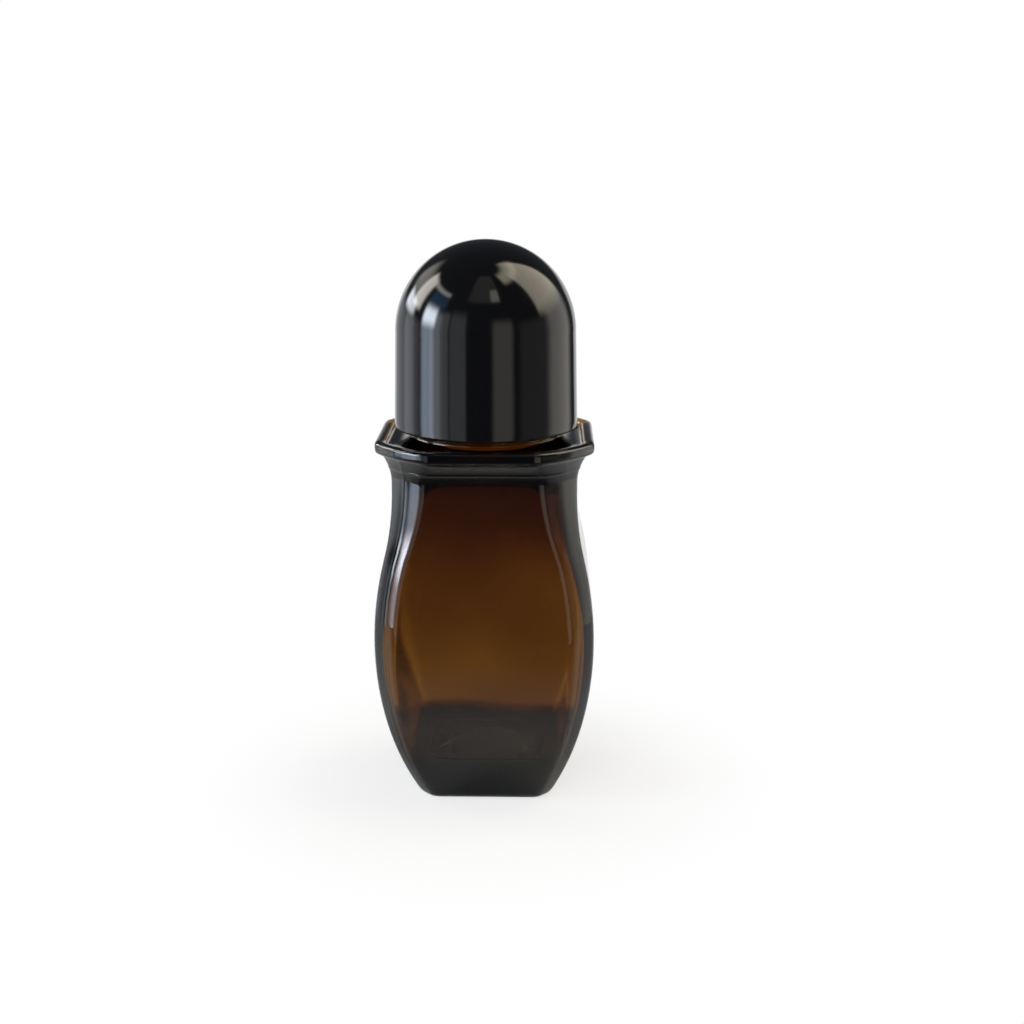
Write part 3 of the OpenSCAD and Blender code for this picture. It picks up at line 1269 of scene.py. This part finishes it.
@dataclass(frozen=True)
class Pane:
    """A bright stretch of the room round the bottle, such as a window or a lit wall.

    Azimuths count in degrees from the camera's side, to the right, and elevations from the
    horizon.
    """

    name: str
    azimuths: tuple[float, float]
    elevations: tuple[float, float]
    radiance: float
    colour: str
    soft: tuple[float, float]

    def add(self, tree: bpy.types.NodeTree, direction: Socket, room: Socket) -> Socket:
        """Adds the pane's light to that of the room.

        Args:
            tree: Tree of the world.
            direction: Azimuth and elevation of the ray, in degrees.
            room: Light of the room so far.

        Returns:
            Socket of the light with this pane in it.
        """
        spans = (self.azimuths, self.elevations)
        middle = [(low + high) / 2 for low, high in spans]
        half = [(high - low) / 2 for low, high in spans]
        inner = [side - soft for side, soft in zip(half, self.soft)]
        outer = [side + soft for side, soft in zip(half, self.soft)]
        off = add_node(tree, "ShaderNodeVectorMath", {1: (*middle, 0)}, {0: direction},
                       operation="SUBTRACT")
        size = add_node(tree, "ShaderNodeVectorMath", links={0: off.outputs[0]},
                        operation="ABSOLUTE")
        edge = add_node(tree, "ShaderNodeMapRange",
                        {7: (*inner, 0), 8: (*outer, 1), 9: (1, 1, 1), 10: (0, 0, 0)},
                        {6: size.outputs[0]}, data_type="FLOAT_VECTOR",
                        interpolation_type="SMOOTHSTEP")
        sides = add_node(tree, "ShaderNodeSeparateXYZ", links={0: edge.outputs[1]}).outputs
        share = add_node(tree, "ShaderNodeMath", links={0: sides[0], 1: sides[1]},
                         operation="MULTIPLY")
        light = [channel * self.radiance for channel in linear(self.colour)[:3]]
        glow = add_node(tree, "ShaderNodeVectorMath", {0: light}, {"Scale": share.outputs[0]},
                        operation="SCALE", label=self.name)
        return add_node(tree, "ShaderNodeVectorMath", links={0: room, 1: glow.outputs[0]},
                        operation="ADD").outputs[0]


@dataclass(frozen=True)
class Softbox:
    """A far soft lamp of even brightness that only matt surfaces show, aimed at the axis."""

    name: str
    place: tuple[float, float, float]
    radiance: float
    colour: str
    size: tuple[float, float] = (900, 700)
    aim_z: float = 60.0

    def build(self) -> None:
        """Sets the lamp up. Its power follows from its area and brightness."""
        lamp = bpy.data.lights.new(self.name, "AREA")
        lamp.shape = "RECTANGLE"
        lamp.size, lamp.size_y = (side * MM for side in self.size)
        lamp.energy = self.radiance * math.pi * lamp.size * lamp.size_y
        lamp.color = linear(self.colour)[:3]
        holder = bpy.data.objects.new(self.name, lamp)
        holder.location = Vector(self.place) * MM
        aim = Vector((0, 0, self.aim_z)) * MM - holder.location
        holder.rotation_euler = aim.to_track_quat("-Z", "Y").to_euler()
        holder.visible_camera = False
        holder.visible_glossy = False
        holder.visible_transmission = False
        bpy.context.scene.collection.objects.link(holder)


@dataclass(frozen=True)
class Studio:
    """Pale table and backdrop in a room with windows on its left and a lit wall on its right.

    The camera's clip range and the table's ramps are in metres, and the backdrop's ramps are in
    degrees.
    """

    lens: float = 53.79
    sensor: float = 36.0
    camera_place: tuple[float, float, float] = (10.37, -277.95, 127.2)
    pitch: float = 14.9
    heading: float = 1.15
    clip: tuple[float, float] = (0.01, 100.0)
    front_edge: float = -130.0
    table_reach: float = 200.0
    paper: str = "#f2f2f2"
    table_fade: Ramp = Ramp(0.016, 0.06, 0.7, 1.0)
    table_near: Ramp = Ramp(0.022, 0.05, 0.0, 1.0)
    # Painted shade in reflections: the table as mirrored dims towards the front
    painted_front_shade: Ramp = Ramp(-0.1, 0.03, 0.1, 0.9)
    backdrop_side: Ramp = Ramp(146.0, 154.0, 0.0, 1.0)
    backdrop_top: Ramp = Ramp(5.0, 13.0, 1.0, 0.0)
    ambient: str = "#474a50"
    diffuse_dim: float = 0.5
    lamps: tuple[Softbox, ...] = (
        Softbox("overhead_fill", (200, 300, 1500), 1.2, "#fffaf2"),
        Softbox("front_fill", (-250, -1050, 550), 2.4, "#fffdf8"),
    )
    panes: tuple[Pane, ...] = (
        Pane("left_window", (-86, -68), (-60, 24), 4.4, "#d6e8ff", (4, 3)),
        Pane("left_window_edge", (-71, -56), (-60, 22), 2.6, "#dfe8f2", (4, 5)),
        Pane("left_window_sky", (-87, -66), (8, 24), 14.0, "#eaf3ff", (3, 6)),
        Pane("rear_window", (-133, -107), (9, 19), 7.5, "#f0f5ff", (5, 3)),
        Pane("rear_blind", (-118, -98), (16, 45), 7.0, "#fffaf0", (4, 3)),
        Pane("rear_reveal", (-142, -116), (20, 40), 1.6, "#f6f2e8", (5, 6)),
        Pane("rear_sill", (-150, -90), (-60, 7), 0.7, "#e6ecf6", (6, 4)),
        Pane("rear_sill_light", (-121, -101), (-60, 9), 0.9, "#eef0f4", (5, 4)),
        Pane("sky_glow", (-88, -57), (26, 40), 1.3, "#5c94d2", (3, 4)),
        Pane("left_lintel", (-98, -58), (41, 45), 3.6, "#fffaf0", (3, 2)),
        Pane("left_frame", (-55, -46), (-60, 24), 1.0, "#e8ecf0", (2, 4)),
        Pane("left_curtain", (-44, -23), (-60, 25), 0.7, "#eceef2", (2, 8)),
        Pane("ceiling", (-26, 26), (42, 78), 0.3, "#f4f2e6", (5, 3)),
        Pane("ceiling_strip", (11, 25), (43, 58), 1.6, "#fff8e6", (2, 3)),
        Pane("front_door", (11, 36), (-60, 18), 0.75, "#fbf6ea", (4, 6)),
        Pane("right_corner", (46, 84), (-60, 14), 0.22, "#f2f0ea", (6, 6)),
        Pane("right_wall_low", (88, 132), (-60, 20), 1.4, "#f6f3ea", (8, 6)),
        Pane("right_wall", (78, 134), (20, 66), 3.6, "#fff3dc", (3, 8)),
        Pane("right_wall_top", (50, 138), (62, 76), 3.2, "#fff4d8", (7, 4)),
    )

    def camera(self) -> None:
        """Sets the camera up at the photograph's viewing angle."""
        data = bpy.data.cameras.new("camera")
        data.lens = self.lens
        data.sensor_width = self.sensor
        data.clip_start, data.clip_end = self.clip
        camera = bpy.data.objects.new("camera", data)
        camera.location = Vector(self.camera_place) * MM
        camera.rotation_euler = (math.radians(90 - self.pitch), 0, math.radians(self.heading))
        bpy.context.scene.collection.objects.link(camera)
        bpy.context.scene.camera = camera

    def floor(self) -> None:
        """Lays the table top, whose front edge lies just outside the camera's view."""
        mesh = bmesh.new()
        bmesh.ops.create_grid(mesh, x_segments=1, y_segments=1, size=self.table_reach * MM)
        shift = (self.table_reach + self.front_edge) * MM
        bmesh.ops.translate(mesh, verts=mesh.verts, vec=(0, shift, 0))
        floor = add_object("floor", mesh)
        floor.data.materials.append(self.floor_material())

    def floor_material(self) -> bpy.types.Material:
        """Builds matt white paper that fades to plain white away from the bottle.

        Returns:
            The paper, with painted shade in what a surface mirrors of it: dim in front of the
            bottle.
        """
        material, tree = new_material("white_paper_sweep")
        place = add_node(tree, "ShaderNodeTexCoord").outputs["Object"]
        away = add_node(tree, "ShaderNodeVectorMath", links={0: place},
                        operation="LENGTH").outputs["Value"]
        depth = add_node(tree, "ShaderNodeSeparateXYZ", links={0: place}).outputs["Y"]
        fade, near, front = [
            add_node(tree, "ShaderNodeMapRange", ramp.settings, {"Value": value},
                     interpolation_type="SMOOTHSTEP").outputs["Result"]
            for ramp, value in (
                (self.table_fade, away), (self.table_near, away), (self.painted_front_shade, depth))]
        path = add_node(tree, "ShaderNodeLightPath").outputs
        direct = add_node(tree, "ShaderNodeMath", operation="MAXIMUM", links={
            0: path["Is Camera Ray"], 1: path["Is Transmission Ray"]}).outputs[0]
        # Rays through glass count as glossy too, so they come off what is mirrored
        mirrored = add_node(tree, "ShaderNodeMath", operation="SUBTRACT", use_clamp=True, links={
            0: path["Is Glossy Ray"], 1: path["Is Transmission Ray"]}).outputs[0]
        # Painted shade: what surfaces mirror of the table gets dimmer the further in front of the
        # bottle it lies
        seen, mirrored_near, mirrored_front_shade = [
            add_node(tree, "ShaderNodeMath", links={0: rays, 1: part},
                     operation="MULTIPLY").outputs[0]
            for rays, part in ((direct, fade), (mirrored, near), (mirrored, front))]
        share, strength = [
            add_node(tree, "ShaderNodeMath", links={0: first, 1: second},
                     operation="MAXIMUM").outputs[0]
            for first, second in ((seen, mirrored_near), (direct, mirrored_front_shade))]
        paper = add_node(tree, "ShaderNodeBsdfDiffuse",
                         {"Color": linear(self.paper), "Roughness": 1.0})
        white = add_node(tree, "ShaderNodeEmission", {"Color": (1, 1, 1, 1)},
                         {"Strength": strength})
        mix = add_node(tree, "ShaderNodeMixShader", links={
            0: share, 1: paper.outputs["BSDF"], 2: white.outputs["Emission"]})
        add_node(tree, "ShaderNodeOutputMaterial", links={"Surface": mix.outputs["Shader"]})
        return material

    def direction(self, tree: bpy.types.NodeTree) -> Socket:
        """Adds the nodes that find where a ray leaves the scene.

        Args:
            tree: Tree of the world.

        Returns:
            Socket of its azimuth and elevation, in degrees, as a vector.
        """
        place = add_node(tree, "ShaderNodeTexCoord").outputs["Generated"]
        turned_round = add_node(tree, "ShaderNodeVectorMath", {1: (1, -1, 1)}, {0: place},
                                operation="MULTIPLY")
        axes = add_node(tree, "ShaderNodeSeparateXYZ", links={0: turned_round.outputs[0]}).outputs
        azimuth = add_node(tree, "ShaderNodeMath", links={0: axes["X"], 1: axes["Y"]},
                           operation="ARCTAN2")
        elevation = add_node(tree, "ShaderNodeMath", links={0: axes["Z"]}, operation="ARCSINE")
        radians = add_node(tree, "ShaderNodeCombineXYZ",
                           links={"X": azimuth.outputs[0], "Y": elevation.outputs[0]})
        return add_node(tree, "ShaderNodeVectorMath", {"Scale": math.degrees(1)},
                        {0: radians.outputs[0]}, operation="SCALE").outputs[0]

    def world(self) -> None:
        """Sets the room up, with a low white backdrop behind the bottle."""
        world = bpy.data.worlds.new("studio")
        world.use_nodes = True
        tree = world.node_tree
        tree.nodes.clear()
        direction = self.direction(tree)
        ambient = add_node(tree, "ShaderNodeCombineXYZ", dict(zip("XYZ", linear(self.ambient))))
        room = ambient.outputs[0]
        for pane in self.panes:
            room = pane.add(tree, direction, room)
        turn = add_node(tree, "ShaderNodeSeparateXYZ", links={0: direction}).outputs
        aside = add_node(tree, "ShaderNodeMath", links={0: turn["X"]}, operation="ABSOLUTE")
        behind, below = [
            add_node(tree, "ShaderNodeMapRange", ramp.settings, {"Value": value},
                     interpolation_type="SMOOTHSTEP").outputs["Result"]
            for ramp, value in (
                (self.backdrop_side, aside.outputs[0]), (self.backdrop_top, turn["Y"]))]
        backdrop = add_node(tree, "ShaderNodeMath", links={0: behind, 1: below},
                            operation="MULTIPLY")
        path = add_node(tree, "ShaderNodeLightPath").outputs
        shown = add_node(tree, "ShaderNodeMath", operation="MAXIMUM",
                         links={0: backdrop.outputs[0], 1: path["Is Camera Ray"]})
        dimmed = add_node(tree, "ShaderNodeMath", {1: -self.diffuse_dim, 2: 1.0},
                          {0: path["Is Diffuse Ray"]}, operation="MULTIPLY_ADD")
        light = add_node(tree, "ShaderNodeBackground",
                         links={"Color": room, "Strength": dimmed.outputs[0]})
        white = add_node(tree, "ShaderNodeBackground", {"Color": (1, 1, 1, 1)})
        mix = add_node(tree, "ShaderNodeMixShader", links={
            0: shown.outputs[0], 1: light.outputs[0], 2: white.outputs[0]})
        add_node(tree, "ShaderNodeOutputWorld", links={"Surface": mix.outputs[0]})
        bpy.context.scene.world = world

    def build(self) -> None:
        """Sets up the whole studio."""
        self.camera()
        self.floor()
        self.world()
        for lamp in self.lamps:
            lamp.build()
        bpy.context.scene.view_settings.view_transform = "Standard"


def main() -> None:
    """Builds the studio and every piece."""
    logging.basicConfig(level=logging.INFO, format="%(name)s: %(message)s")
    Studio().build()
    glass = GlassBottle()
    low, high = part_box("roller_ball")
    ball_z = (low.z + high.z) / 2 / MM
    glass.build()
    BallHousing(lip_z=glass.lip_z, ball_z=ball_z, neck_r=glass.neck_r, bore_r=glass.bore_r).build()
    RollerBall().build()
    DomedCap(ball_z=ball_z, ball_r=high.x / MM).build()


if __name__ == "__main__":
    main()
